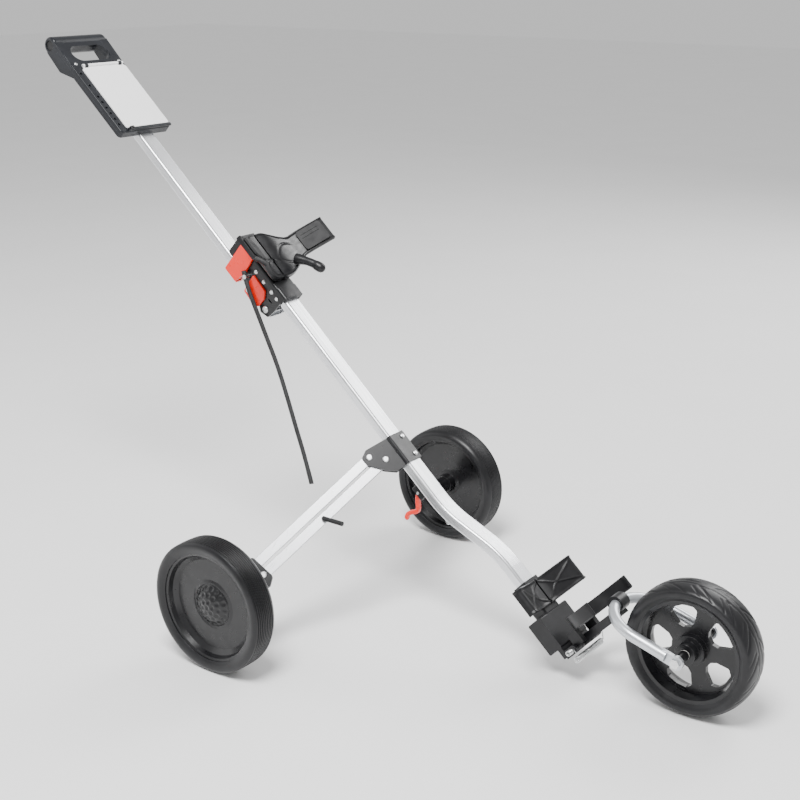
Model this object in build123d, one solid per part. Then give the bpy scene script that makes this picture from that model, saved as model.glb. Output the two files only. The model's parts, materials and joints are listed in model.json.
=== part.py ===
from build123d import *
import math
import os

# Golf push trolley with three wheels. Millimetres and degrees.
# The frame is designed with x = 0 at the rear axle, y = 0 on the centre plane and z = 0 on the ground,
# +X towards the front wheel. save() then moves every piece so that the origin is the middle of the footprint.
# Tube frame: t runs down and forward along the main tube, y across, n out of the tube's top face.

ORIGIN_X = 76.58

# Main tubes: one rounded rectangular section, two tubes stacked at the fold joint
TUBE_SLOPE = 42.2
TUBE_W = 36.0
TUBE_H = 19.0
TUBE_R = 5.0
TUBE_WALL = 1.5
MAIN_N = 321.5
UPPER_N = 285.0
FRONT_N = 360.0
MAIN_T0 = -548.0
BEND_T1 = 22.0
BEND_T2 = 136.0
BEND_R = 190.0
MAIN_T1 = 300.0
UPPER_T0 = -1052.0
UPPER_T1 = -458.0
MAIN_TOP = MAIN_N + TUBE_H / 2
MAIN_BOTTOM = MAIN_N - TUBE_H / 2
UPPER_TOP = UPPER_N + TUBE_H / 2
UPPER_BOTTOM = UPPER_N - TUBE_H / 2
HALF_W = TUBE_W / 2

# Working clearances
GAP = 0.4
RUN = 0.05

# Handle
GRIP_T = -1128.0
GRIP_N = 292.0
GRIP_R = 16.0
GRIP_Y0 = -68.0
GRIP_Y1 = 62.0
SHELL_TOP = 306.0
SHELL_BOTTOM = 291.0
SHELL_T1 = -893.0
SHELL_Y0 = -68.0
SHELL_Y1 = 58.0
SPLIT_N = 298.0
LID_T0 = -1052.0
LID_T1 = -900.0
LID_Y0 = -51.0
LID_Y1 = 56.0
LID_THICK = 3.0
LID_PIN_T = -1056.5
LID_PIN_N = 310.0
LID_PIN_R = 1.2
LID_KNUCKLE_R = 2.9
TEE_R = 2.75
TEE_Y = -60.0
TEE_T0 = -1041.0
TEE_STEPS = (0.0, 30.0, 58.5, 72.5, 86.5, 100.5, 114.5, 128.5)
SCREW_Y = (-56.0, 51.0)
SCREW_T = -1065.0
SCREW_R = 1.6

# Fold joint
FOLD_T = -471.0
FOLD_PIN_R = 4.0
PLATE_IN = HALF_W + GAP
PLATE_OUT = PLATE_IN + 3.0
RIVET_T = (-530.0, -506.0, -482.0, -466.0)
RIVET_R = 2.5
LATCH_T = -519.0
LATCH_R = 3.0
CHEEK_IN = PLATE_OUT + GAP
CHEEK_OUT = CHEEK_IN + 4.0

# Arm linkage: a plane that droops sideways from the tube, one on each side
DROOP = 40.0
LINK_Y = 20.0
LINK_N = 320.0
ARM_ANGLE = 7.9
ARM_LENGTH = 288.4
PIVOT_A = (-131.9, 40.1)
PIVOT_B = (-112.6, 18.9)
BAR_W = 17.5
BAR_H = 6.0
LINK_SHEET = 3.0
LINK_PIN_R = 4.0
OPEN_BORE = 0.35

# Rear wheels
REAR_R = 115.0
REAR_Y = 345.0
REAR_HALF = 24.0
AXLE_R = 6.0
HUB_R = 19.0
HUB_IN = 321.0
HUB_OUT = 352.0
CAP_R = 37.5
CAP_BASE = 3.2
CAP_RISE = 13.3

# Front wheel and fork
FRONT_X = 698.9
FRONT_R = 109.75
FRONT_HALF = 28.0
FORK_R = 9.0
FORK_Y = 62.0
FORK_TOP_X = 566.0
FORK_TOP_Z = 148.0
FRONT_AXLE_R = 5.0
FRONT_HUB_HALF = 40.0

# Lower bracket
BLOCK_T0 = 262.0
BLOCK_T1 = 322.0
BLOCK_HALF = 42.0
BLOCK_N0 = 342.0
BLOCK_N1 = 373.0
FOOT_T = 336.0
FOOT_N = 388.0
FOOT_ROD_R = 3.0

# Release lever under the tube
LEVER_T = -36.0
LEVER_N = 299.0
LEVER_PIN_R = 2.5

# Peg and strap
PEG_LENGTH = 42.0
STRAP_Y = -30.0
STRAP_WIDTH = 10.0
STRAP_THICK = 2.0
ANCHOR_T = -538.0
ANCHOR_N = 301.0
STRAP_POINTS = (
    (-200.0, 595.0), (-192.0, 565.0), (-170.0, 521.0), (-149.0, 478.0), (-125.0, 430.0),
    (-104.0, 375.0), (-84.0, 318.0), (-64.0, 264.0), (-50.0, 217.0))

TILT = Rot(0, TUBE_SLOPE, 0)
SLOPE_COS = math.cos(math.radians(TUBE_SLOPE))
SLOPE_SIN = math.sin(math.radians(TUBE_SLOPE))


FORK_REACH = math.hypot(FRONT_X - FORK_TOP_X, FORK_TOP_Z - FRONT_R)
FORK_PITCH = math.degrees(math.atan2(FORK_TOP_Z - FRONT_R, FRONT_X - FORK_TOP_X))
FORK_PLACE = Pos(FRONT_X, 0, FRONT_R) * Rot(0, FORK_PITCH, 0)
FORK_TOP_T = FORK_TOP_X * SLOPE_COS - FORK_TOP_Z * SLOPE_SIN
FORK_TOP_N = FORK_TOP_X * SLOPE_SIN + FORK_TOP_Z * SLOPE_COS


def save(name, *solids):
    """Write one node; several solids stay separate inside it."""
    moved = [Pos(-ORIGIN_X, 0, 0) * solid for solid in solids]
    shape = moved[0] if len(moved) == 1 else Compound(children=moved)
    export_step(shape, f"parts/{name}.step")


def span_box(x0, x1, y0, y1, z0, z1):
    """A box given by its limits."""
    return Pos((x0 + x1) / 2, (y0 + y1) / 2, (z0 + z1) / 2) * Box(x1 - x0, y1 - y0, z1 - z0)


def y_rod(x, z, radius, y0, y1):
    """A round rod along Y from y0 to y1."""
    return Pos(x, (y0 + y1) / 2, z) * Rot(90, 0, 0) * Cylinder(radius, y1 - y0)


def other_side(solid):
    """The same piece on the left side."""
    return mirror(solid, about=Plane.XZ)


def tube_section(width, height, radius):
    return RectangleRounded(width, height, radius)


def swept_tube(path, start_plane):
    """Hollow rounded rectangular tube along a path."""
    outer = sweep(start_plane * tube_section(TUBE_W, TUBE_H, TUBE_R), path=path)
    bore_w = TUBE_W - 2 * TUBE_WALL
    bore_h = TUBE_H - 2 * TUBE_WALL
    inner = sweep(start_plane * tube_section(bore_w, bore_h, TUBE_R - TUBE_WALL), path=path)
    return outer - inner


def tube_plane(t, n):
    """Section plane across the tube: its local x is Y, its local z is t."""
    return Plane(origin=(t, 0, n), x_dir=(0, 1, 0), z_dir=(1, 0, 0))


def filled_tube(t0, t1, n):
    """Solid outline of a straight tube, used to cut its seat in other pieces."""
    return extrude(tube_plane(t0, n) * tube_section(TUBE_W, TUBE_H, TUBE_R), amount=t1 - t0)


# ---------------------------------------------------------------- tubes

def main_tube():
    points = [(MAIN_T0, 0, MAIN_N), (BEND_T1, 0, MAIN_N), (BEND_T2, 0, FRONT_N), (MAIN_T1, 0, FRONT_N)]
    path = FilletPolyline(*points, radius=BEND_R)
    tube = swept_tube(path, tube_plane(MAIN_T0, MAIN_N))
    for t in RIVET_T:
        tube -= y_rod(t, MAIN_N, RIVET_R, -HALF_W - 1, HALF_W + 1)
    return TILT * tube


def upper_tube():
    path = Line((UPPER_T0, 0, UPPER_N), (UPPER_T1, 0, UPPER_N))
    tube = swept_tube(path, tube_plane(UPPER_T0, UPPER_N))
    tube -= y_rod(FOLD_T, UPPER_N, FOLD_PIN_R + RUN, -HALF_W - 1, HALF_W + 1)
    tube -= y_rod(LATCH_T, UPPER_N, LATCH_R, -HALF_W - 1, HALF_W + 1)
    return TILT * tube


# ---------------------------------------------------------------- handle

def handle_body():
    """Both half shells as one form: cross grip, cheeks, card table and tube socket."""
    depth = SHELL_TOP - SHELL_BOTTOM
    outline = Polyline(
        (SHELL_T1, SHELL_Y1), (-1062.0, SHELL_Y1), (GRIP_T, GRIP_Y1), (GRIP_T, GRIP_Y0 + 2),
        (-1075.0, GRIP_Y0 + 1), (-1046.0, SHELL_Y0), (SHELL_T1, SHELL_Y0), close=True)
    table = extrude(Pos(0, 0, SHELL_BOTTOM) * make_face(outline), amount=depth)
    table = fillet(table.edges().filter_by(Axis.Z), 7)
    table = fillet(table.faces().sort_by(Axis.Z)[-1].edges(), 2.5)
    grip = y_rod(GRIP_T, GRIP_N, GRIP_R, GRIP_Y0, GRIP_Y1)
    grip = fillet(grip.edges(), 5)
    cheeks = Part()
    for y0, y1 in ((GRIP_Y0, GRIP_Y0 + 20), (GRIP_Y1 - 18, GRIP_Y1)):
        side = Polyline(
            (GRIP_T, GRIP_N - GRIP_R + 1), (-1078.0, GRIP_N - 19), (-1042.0, SHELL_BOTTOM + 1),
            (-1042.0, SHELL_TOP - 3), (GRIP_T, GRIP_N + GRIP_R - 1), close=True)
        cheek = extrude(Plane.XZ.offset(-y1) * make_face(side), amount=y1 - y0)
        cheeks += fillet(cheek.edges().filter_by(Axis.Y), 6)
    socket = span_box(-1060, -985, -24, 24, UPPER_BOTTOM - 4, SHELL_BOTTOM + 2)
    socket = fillet(socket.edges().filter_by(Axis.X), 5)
    opening = SlotOverall(90, 38)
    window = extrude(Pos(-1091, -1, 250) * Rot(0, 0, 90) * opening, amount=90)
    body = table + grip + cheeks + socket - window
    body -= filled_tube(UPPER_T0, UPPER_T1, UPPER_N)
    for step in TEE_STEPS:
        body -= Pos(TEE_T0 + step, TEE_Y, 300) * Cylinder(TEE_R, 60)
    for y in (GRIP_Y0, GRIP_Y1):
        body -= y_rod(GRIP_T, GRIP_N, GRIP_R - 6, min(y, y - math.copysign(8, y)), max(y, y - math.copysign(8, y)))
    for y in SCREW_Y:
        body -= Pos(SCREW_T, y, 0) * Cylinder(SCREW_R, 1200)
    body -= span_box(-1040, -905, -50, -26, SHELL_BOTTOM + 2.5, SHELL_TOP - 2.5)
    body -= span_box(-1040, -905, 24, 50, SHELL_BOTTOM + 2.5, SHELL_TOP - 2.5)
    body -= span_box(-975, -905, -24, 22, SHELL_BOTTOM + 6, SHELL_TOP - 2.5)
    return body


def handle_shells():
    body = handle_body()
    cut = Plane.XY.offset(SPLIT_N)
    top = split(body, bisect_by=cut, keep=Keep.TOP)
    bottom = split(body, bisect_by=cut, keep=Keep.BOTTOM)
    for y in (LID_Y0 + 12, LID_Y1 - 12):
        lug = span_box(LID_PIN_T - 3, LID_PIN_T + 3, y - 4, y + 4, SHELL_TOP - 1, LID_PIN_N + 2.5)
        lug = fillet(lug.edges().filter_by(Axis.Y).group_by(Axis.Z)[-1], 2)
        top += lug - y_rod(LID_PIN_T, LID_PIN_N, LID_PIN_R, y - 5, y + 5)
    return TILT * top, TILT * bottom


def grip_caps():
    caps = []
    for y, sign in ((GRIP_Y0, -1), (GRIP_Y1, 1)):
        inner = y - sign * 8
        caps.append(TILT * y_rod(GRIP_T, GRIP_N, GRIP_R - 6, min(y - sign * 2, inner), max(y - sign * 2, inner)))
    return caps


def screw(radius, head_radius, head, length):
    """Pan-head screw, head up, its head's underside at z = 0."""
    cap = Pos(0, 0, head / 2) * Cylinder(head_radius, head)
    cap = fillet(cap.edges().group_by(Axis.Z)[-1], head * 0.6)
    cap -= Pos(0, 0, head) * Box(head_radius * 1.2, 0.8, 1.2)
    cap -= Pos(0, 0, head) * Box(0.8, head_radius * 1.2, 1.2)
    return cap + Pos(0, 0, -length / 2) * Cylinder(radius, length)


def scorecard_lid():
    plate = span_box(LID_T0, LID_T1, LID_Y0, LID_Y1, SHELL_TOP + GAP, SHELL_TOP + GAP + LID_THICK)
    plate = fillet(plate.edges().filter_by(Axis.Z), 5)
    plate = fillet(plate.faces().sort_by(Axis.Z)[-1].edges(), 1.2)
    for y0, y1 in ((LID_Y0 + 4, LID_Y0 + 7.5), (LID_Y0 + 16.5, LID_Y1 - 16.5), (LID_Y1 - 7.5, LID_Y1 - 4)):
        plate += y_rod(LID_PIN_T, LID_PIN_N, LID_KNUCKLE_R, y0, y1)
        plate += span_box(LID_PIN_T, LID_T0 + 3, y0, y1, LID_PIN_N - 2.6, LID_PIN_N - 0.9)
    plate -= y_rod(LID_PIN_T, LID_PIN_N, LID_PIN_R + RUN, LID_Y0, LID_Y1)
    return TILT * plate


def lid_pin():
    return TILT * y_rod(LID_PIN_T, LID_PIN_N, LID_PIN_R, LID_Y0 + 3.5, LID_Y1 - 3.5)


def scorecard_ledge():
    """Raised bar along the lid's lower edge."""
    bar = span_box(LID_T1 + GAP, SHELL_T1 - 1, LID_Y0 + 2, LID_Y1 + 1, SHELL_TOP, SHELL_TOP + 4)
    return TILT * fillet(bar.edges().filter_by(Axis.Y).group_by(Axis.Z)[-1], 1.5)


def lid_clip():
    """Small spring clip that stands at the lid's lower corner."""
    clip = span_box(LID_T1 + GAP, LID_T1 + GAP + 5, LID_Y0 + 4, LID_Y0 + 13, SHELL_TOP + 4, SHELL_TOP + 9)
    return TILT * fillet(clip.edges().group_by(Axis.Z)[-1], 1.6)


# ---------------------------------------------------------------- fold joint

def hinge_plate():
    """Steel side plate that carries the fold pin, riveted to the main tube."""
    outline = Polyline(
        (-545, 332), (-457, 332), (-455, 300), (-458, 278), (-476, 272), (-492, 284),
        (-530, 292), (-546, 292), close=True)
    plate = extrude(Plane.XZ.offset(PLATE_IN) * make_face(outline), amount=PLATE_OUT - PLATE_IN)
    plate = fillet(plate.edges().filter_by(Axis.Y), 3)
    for t in RIVET_T:
        plate -= y_rod(t, MAIN_N, RIVET_R, -30, 30)
    for t in (-494.0, -474.0):
        plate -= span_box(t - 5, t + 5, -30, 30, 303.5, 306.5)
    return plate - y_rod(FOLD_T, UPPER_N, FOLD_PIN_R, -30, 30)


def hinge_rivets():
    """Rivets through the main tube and both side plates."""
    pieces = []
    for t in RIVET_T:
        shank = y_rod(t, MAIN_N, RIVET_R, -PLATE_OUT, PLATE_OUT)
        for sign in (-1, 1):
            dome = Pos(t, sign * PLATE_OUT, MAIN_N) * Rot(-90 * sign, 0, 0) * Cylinder(4.0, 3.0)
            dome = Pos(0, sign * 1.5, 0) * dome
            dome = chamfer(dome.faces().sort_by(Axis.Y)[-1 if sign > 0 else 0].edges(), 1.4)
            shank += dome
        pieces.append(TILT * shank)
    return pieces


def fold_pin():
    pin = y_rod(FOLD_T, UPPER_N, FOLD_PIN_R, -PLATE_OUT, PLATE_OUT)
    for sign in (-1, 1):
        head = y_rod(FOLD_T, UPPER_N, 6.5, min(sign * PLATE_OUT, sign * (PLATE_OUT + 2.5)),
                     max(sign * PLATE_OUT, sign * (PLATE_OUT + 2.5)))
        pin += chamfer(head.faces().sort_by(Axis.Y)[-1 if sign > 0 else 0].edges(), 1.2)
    return TILT * pin


def catch_yoke():
    """Red catch that straddles the upper tube and closes over the bracket's sides."""
    web = span_box(-581, -548, -CHEEK_OUT, CHEEK_OUT, UPPER_BOTTOM - 4, UPPER_BOTTOM)
    yoke = web
    for sign in (-1, 1):
        side = Polyline((-583, UPPER_BOTTOM - 4), (-550, UPPER_BOTTOM - 4), (-545, 300), (-549, 338), (-585, 338), close=True)
        cheek = extrude(Plane.XZ.offset(CHEEK_IN) * make_face(side), amount=CHEEK_OUT - CHEEK_IN + 1.5)
        cheek = fillet(cheek.edges().filter_by(Axis.Y), 3)
        cheek = fillet(cheek.faces().sort_by(Axis.Y)[0].edges(), 1.2)
        yoke += cheek if sign < 0 else mirror(cheek, about=Plane.XZ)
        low = min(sign * HALF_W, sign * (CHEEK_IN + 1))
        high = max(sign * HALF_W, sign * (CHEEK_IN + 1))
        yoke += span_box(-580, -550, low, high, UPPER_BOTTOM - 4, UPPER_TOP - 5)
    return TILT * yoke


def latch_lever():
    """Red lever that straddles the upper tube below the catch and turns on its own pin."""
    side = Polyline((-530, 314), (-526, 274), (-494, 271), (-484, 279), (-484, 300), (-493, 313), close=True)
    lever = Part()
    for sign in (-1, 1):
        cheek = extrude(Plane.XZ.offset(CHEEK_IN) * make_face(side), amount=CHEEK_OUT - CHEEK_IN)
        cheek = fillet(cheek.edges().filter_by(Axis.Y), 3)
        cheek = fillet(cheek.faces().sort_by(Axis.Y)[0].edges(), 1.0)
        lever += cheek if sign < 0 else mirror(cheek, about=Plane.XZ)
    web_top = UPPER_BOTTOM - 1.0
    lever += span_box(-511, -497, -CHEEK_IN - 1, CHEEK_IN + 1, web_top - 3.5, web_top)
    return TILT * (lever - y_rod(LATCH_T, UPPER_N, LATCH_R + RUN, -40, 40))


def latch_pin():
    pin = y_rod(LATCH_T, UPPER_N, LATCH_R, -CHEEK_OUT - GAP, CHEEK_OUT + GAP)
    for sign in (-1, 1):
        a = sign * (CHEEK_OUT + GAP)
        pin += y_rod(LATCH_T, UPPER_N, 5.0, min(a, a + sign * 2), max(a, a + sign * 2))
    return TILT * pin


# ---------------------------------------------------------------- upper bag bracket

BRACKET_TOP = 339.0
BRACKET_HALF = 24.5


def upper_bracket():
    """Moulded saddle on the main tube, with a collar at its lower end."""
    cap = span_box(-545, -456, -BRACKET_HALF, BRACKET_HALF, MAIN_TOP - 3, BRACKET_TOP)
    cap = fillet(cap.edges().filter_by(Axis.X).group_by(Axis.Z)[-1], 4)
    core = span_box(-600, -545, -HALF_W - 2, HALF_W + 2, UPPER_TOP + 1.5, BRACKET_TOP)
    core = fillet(core.edges().filter_by(Axis.X), 3)
    filler = span_box(-546, -500, -HALF_W + 1, HALF_W - 1, UPPER_TOP + 1.5, MAIN_BOTTOM)
    collar = span_box(-476, -452, -BRACKET_HALF, BRACKET_HALF, MAIN_TOP - 8, BRACKET_TOP + 2)
    collar = fillet(collar.edges().filter_by(Axis.X).group_by(Axis.Z)[-1], 5)
    bracket = cap + core + filler + collar
    bracket -= filled_tube(MAIN_T0, MAIN_T1, MAIN_N)
    for sign in (-1, 1):
        low = min(sign * (PLATE_IN - GAP), sign * PLATE_OUT)
        high = max(sign * (PLATE_IN - GAP), sign * PLATE_OUT)
        bracket -= span_box(-546, -450, low, high, 260, 332.2)
        bracket -= y_rod(RIVET_T[3], MAIN_N, 4.4, min(sign * 18, sign * 30), max(sign * 18, sign * 30))
    return TILT * bracket


WING_TIP_Y = 106.0
WING_TIP_N = 414.0


def cradle_wing():
    """Left wing of the upper cradle: a flared arm that ends in a flat pad carrier."""
    profile = Polyline(
        (2, BRACKET_TOP), (22, BRACKET_TOP), (54, 370), (WING_TIP_Y + 3, WING_TIP_N - 9),
        (WING_TIP_Y, WING_TIP_N), (50, 379), (30, 366), (10, 355), (2, 353), close=True)
    arm = extrude(Plane.YZ.offset(-592) * make_face(profile), amount=100)
    plan = Polyline(
        (-590, -5), (-490, -5), (-488, 26), (-500, 44), (-505, WING_TIP_Y + 5), (-556, WING_TIP_Y + 5),
        (-558, 46), (-588, 24), close=True)
    arm &= extrude(Pos(0, 0, 330) * make_face(plan), amount=100)
    rib_line = Line((-575, 6, 353), (-556, 50, 380))
    rib = sweep(Plane(origin=rib_line @ 0, z_dir=rib_line % 0) * Circle(4), path=rib_line)
    return arm + rib


def wing_pad():
    """Soft grip pad on the wing's upper face."""
    rise = math.degrees(math.atan2(WING_TIP_N - 379, WING_TIP_Y - 50))
    pad = Box(40, 52, 4)
    pad = fillet(pad.edges().filter_by(Axis.Z), 5)
    for x in (-10.0, -3.0):
        pad -= Pos(x, -2, 2) * Box(1.6, 36, 1.6)
    place = Pos(-531, (50 + WING_TIP_Y) / 2, (379 + WING_TIP_N) / 2) * Rot(rise, 0, 0) * Pos(0, 0, 2)
    return TILT * (place * pad)


def strap_finger():
    """Blunt finger on the left wing that a bag strap is hooked over."""
    line = Line((-506, 34, 368), (-464, 42, 396))
    rod = sweep(Plane(origin=line @ 0, z_dir=line % 0) * Circle(8), path=line)
    return rod + Pos(*(line @ 1)) * Sphere(8)


# ---------------------------------------------------------------- axle yoke and arms

def link_frame(solid):
    """Place a piece drawn in the linkage plane: x = t, y = -s, z = normal, on the right side."""
    return TILT * (Pos(0, -LINK_Y, LINK_N) * Rot(DROOP, 0, 0) * solid)


def link_point(point, along=0.0, angle=ARM_ANGLE):
    """A linkage-plane point moved along an arm direction, as (t, -s)."""
    t = point[0] + along * math.sin(math.radians(angle))
    s = point[1] + along * math.cos(math.radians(angle))
    return t, -s


def link_disc(point, radius, z0, z1):
    return Pos(point[0], point[1], (z0 + z1) / 2) * Cylinder(radius, z1 - z0)


SHEET_IN = BAR_H / 2 + 0.3
SHEET_OUT = SHEET_IN + LINK_SHEET
WING_PLAN = ((-142, 4), (-146, -38), (-138, -52), (-122, -51), (-98, -32), (-84, -16), (-84, 4))


def wing_sheet(z0, z1, inner):
    """One sheet of the yoke's wing in the linkage plane, cut off at the tube side."""
    sheet = extrude(Pos(0, 0, z0) * make_face(Polyline(*WING_PLAN, close=True)), amount=z1 - z0)
    sheet = fillet(sheet.edges().filter_by(Axis.Z), 3.5)
    sheet &= span_box(-200, 0, -100, inner, z0 - 1, z1 + 1)
    for point in (PIVOT_A, PIVOT_B):
        sheet -= link_disc(link_point(point), LINK_PIN_R, z0 - 1, z1 + 1)
    return sheet


def yoke_top():
    """Folded steel saddle over the tube with a drooping wing on each side."""
    saddle = span_box(-142, -84, -HALF_W - 3.2, HALF_W + 3.2, 316, MAIN_TOP + 3)
    saddle = fillet(saddle.edges().filter_by(Axis.X).group_by(Axis.Z)[-1], 4)
    saddle -= span_box(-150, -76, -HALF_W - 0.2, HALF_W + 0.2, 300, MAIN_TOP)
    saddle -= filled_tube(-160, -70, MAIN_N)
    wing = link_frame(wing_sheet(SHEET_IN, SHEET_OUT, 3.2))
    yoke = TILT * saddle + wing + other_side(wing)
    for t, y in ((-132.0, 9.0), (-94.0, 9.0)):
        yoke -= TILT * (Pos(t, y, MAIN_TOP) * Cylinder(2.5, 20))
    return yoke


def yoke_bottom():
    """Lower sheet that closes the yoke under the tube and the arm bars."""
    strap = span_box(-140, -86, -HALF_W - 3.2, HALF_W + 3.2, MAIN_BOTTOM - 3, 315.5)
    strap -= filled_tube(-160, -70, MAIN_N)
    strap -= span_box(-150, -76, -HALF_W - 0.2, HALF_W + 0.2, MAIN_BOTTOM, 330)
    wing = link_frame(wing_sheet(-SHEET_OUT, -SHEET_IN, -3.0))
    return TILT * strap + wing + other_side(wing)


def yoke_rivets():
    pieces = []
    for t in (-132.0, -94.0):
        rivet = Pos(t, 9.0, MAIN_TOP) * Cylinder(2.5, 6)
        dome = Pos(t, 9.0, MAIN_TOP + 4.5) * Cylinder(4.2, 3)
        dome = chamfer(dome.faces().sort_by(Axis.Z)[-1].edges(), 1.4)
        pieces.append(TILT * (rivet + dome - filled_tube(-160, -70, MAIN_N)))
    return pieces


def link_pin(point):
    """Headed pivot pin across both sheets."""
    pin = link_disc(point, LINK_PIN_R, -SHEET_OUT - 0.2, SHEET_OUT)
    dome = chamfer(link_disc(point, 5.6, SHEET_OUT, SHEET_OUT + 3).faces().sort_by(Axis.Z)[-1].edges(), 1.6)
    foot = link_disc(point, 5.6, -SHEET_OUT - 2, -SHEET_OUT)
    return link_frame(pin + dome + foot)


def arm_bar(start, outer_bore):
    """Flat bar between a yoke pivot and a carrier pivot."""
    x0, y0 = link_point(start)
    turn = 90 + ARM_ANGLE
    bar = SlotCenterToCenter(ARM_LENGTH, BAR_W)
    bar = extrude(bar, amount=BAR_H / 2, both=True)
    bar -= Pos(-ARM_LENGTH / 2, 0, 0) * Cylinder(LINK_PIN_R + RUN, BAR_H * 2)
    bar -= Pos(ARM_LENGTH / 2, 0, 0) * Cylinder(LINK_PIN_R + outer_bore, BAR_H * 2)
    bar = chamfer(bar.faces().sort_by(Axis.Z)[-1].outer_wire().edges(), 0.8)
    return link_frame(Pos(x0, y0, 0) * Rot(0, 0, turn - 180) * Pos(ARM_LENGTH / 2, 0, 0) * bar)


CARRIER_PLAN = ((-108, -302), (-62, -293), (-51, -306), (-56, -356), (-99, -356), (-110, -330))


def carrier():
    """Clevis that holds both arm bars and a boss for the stub axle."""
    plan = make_face(Polyline(*CARRIER_PLAN, close=True))
    block = extrude(Pos(0, 0, -SHEET_OUT) * plan, amount=2 * SHEET_OUT)
    block = fillet(block.edges().filter_by(Axis.Z), 5)
    block -= span_box(-130, -40, -336, -280, -SHEET_IN, SHEET_IN)
    for point in (PIVOT_A, PIVOT_B):
        block -= link_disc(link_point(point, ARM_LENGTH), LINK_PIN_R, -20, 20)
    boss = y_rod(0, REAR_R, 15, -HUB_IN + 0.5, -280)
    body = link_frame(block) + boss
    return body - y_rod(0, REAR_R, AXLE_R, -HUB_IN, -290)


def stub_axle():
    axle = y_rod(0, REAR_R, AXLE_R, -HUB_OUT - 3, -290)
    return axle


# ---------------------------------------------------------------- wheels

def ring(profile):
    """Revolve a closed profile of (radius, offset across) points about the wheel's axis, Z."""
    outline = Polyline(*[(r, z) for r, z in profile], close=True)
    return revolve(Plane.XZ * make_face(outline), axis=Axis.Z)


def stand_wheel(solid, x, y, radius, outward):
    """Stand a wheel drawn about Z upright, its outer face towards outward * Y."""
    return Pos(x, y, radius) * Rot(-90 * outward, 0, 0) * solid


def rear_tyre():
    profile = [(94, -25), (103, -29), (104.5, -29), (108.5, -27.5), (111.5, -24), (113.8, -19)]
    for i in range(6):
        z = -13.75 + i * 5.5
        profile += [(REAR_R, z - 1.6), (REAR_R - 1.5, z - 0.7), (REAR_R - 1.5, z + 0.7), (REAR_R, z + 1.6)]
    profile += [(113.8, 19), (111.2, 22), (106.6, 23), (103, 22.6), (94, 19)]
    return ring(profile)


def rear_rim():
    profile = [
        (AXLE_R + 3, -24), (HUB_R, -24), (HUB_R, -6), (26, -3.5), (80, -3.5), (88, -9), (90, -20), (94, -22),
        (94, 17), (90, 15.5), (87, 8), (79, 1.5), (44, 1.5), (39, 3), (HUB_R, 3), (HUB_R - 2, 7), (AXLE_R + 3, 7)]
    return ring(profile)


def hub_bushes(length0, length1, radius_in, radius_out):
    """Two plain bushes pressed into a hub, drawn about Z."""
    pieces = []
    for z0, z1 in (length0, length1):
        bush = Pos(0, 0, (z0 + z1) / 2) * Cylinder(radius_out, z1 - z0)
        pieces.append(bush - Pos(0, 0, (z0 + z1) / 2) * Cylinder(radius_in + RUN, z1 - z0 + 2))
    return pieces


def hub_cap():
    """Domed cap over the hub, hollow over the axle's end."""
    ball = (CAP_R ** 2 + CAP_RISE ** 2) / (2 * CAP_RISE)
    centre = Pos(0, 0, CAP_BASE + CAP_RISE - ball)
    dome = centre * Sphere(ball) - centre * Sphere(ball - 3)
    return dome & Pos(0, 0, CAP_BASE + 10) * Cylinder(CAP_R, 20)


def axle_nut():
    """Push-on nut that keeps the wheel on its stub axle."""
    nut = Pos(0, 0, 9.3) * Cylinder(9, 2.6)
    return nut - Pos(0, 0, 9) * Cylinder(AXLE_R, 10)


def front_tyre():
    profile = [
        (86, -25), (93, -30), (96, -30.5), (101, -28.5), (105, -24), (108, -17), (109.4, -8), (FRONT_R, 0),
        (109.4, 8), (108, 17), (105, 24), (101, 28.5), (96, 30.5), (93, 30), (86, 25)]
    return ring(profile)


def front_rim():
    """Five-spoke rim."""
    barrel = ring([(80, -24), (86, -25), (86, 25), (80, 24), (76, 10), (76, -10)])
    hub = Cylinder(17, 2 * 32) + Cylinder(25, 34) - Cylinder(FRONT_AXLE_R + 3, 80)
    web = Cylinder(80, 9)
    for i in range(5):
        window = Polyline(
            (35, -6), (41, -14), (60, -23), (69, -17), (72, 0), (69, 17), (60, 23), (41, 14), (35, 6), close=True)
        hole = extrude(Pos(0, 0, -20) * make_face(window), amount=40)
        hole = fillet(hole.edges().filter_by(Axis.Z), 4)
        web -= Rot(0, 0, 36 + 72 * i) * hole
    web -= Cylinder(16, 40)
    return barrel + web + hub


# ---------------------------------------------------------------- front fork

def fork_sweep(radius):
    """Solid round bar along the fork's U, its legs' ends at the axle, lying along X."""
    knee = FORK_Y - FORK_REACH
    left = Line((0, -FORK_Y, 0), (knee, -FORK_Y, 0))
    arc = ThreePointArc((knee, -FORK_Y, 0), (-FORK_REACH, 0, 0), (knee, FORK_Y, 0))
    right = Line((knee, FORK_Y, 0), (0, FORK_Y, 0))
    start = Plane(origin=(0, -FORK_Y, 0), z_dir=(-1, 0, 0))
    return sweep(start * Circle(radius), path=Wire([left, arc, right]))


def filled_fork():
    """Outline of the fork tube in place, used to cut its seat."""
    return FORK_PLACE * fork_sweep(FORK_R)


def fork_tube():
    """One round tube bent to a U around the back of the front wheel."""
    tube = fork_sweep(FORK_R) - fork_sweep(FORK_R - 1.6)
    for sign in (-1, 1):
        eye = Pos(0, sign * FORK_Y, 0) * Rot(90, 0, 0) * Cylinder(12, 5)
        flat = span_box(-26, 0, sign * FORK_Y - 2.5, sign * FORK_Y + 2.5, -10, 10)
        clear = span_box(-18, 30, sign * FORK_Y - 12, sign * FORK_Y + 12, -14, 14)
        tube = tube - clear + eye + flat
        tube -= Pos(0, sign * FORK_Y, 0) * Rot(90, 0, 0) * Cylinder(FRONT_AXLE_R, 30)
    return FORK_PLACE * tube


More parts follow.
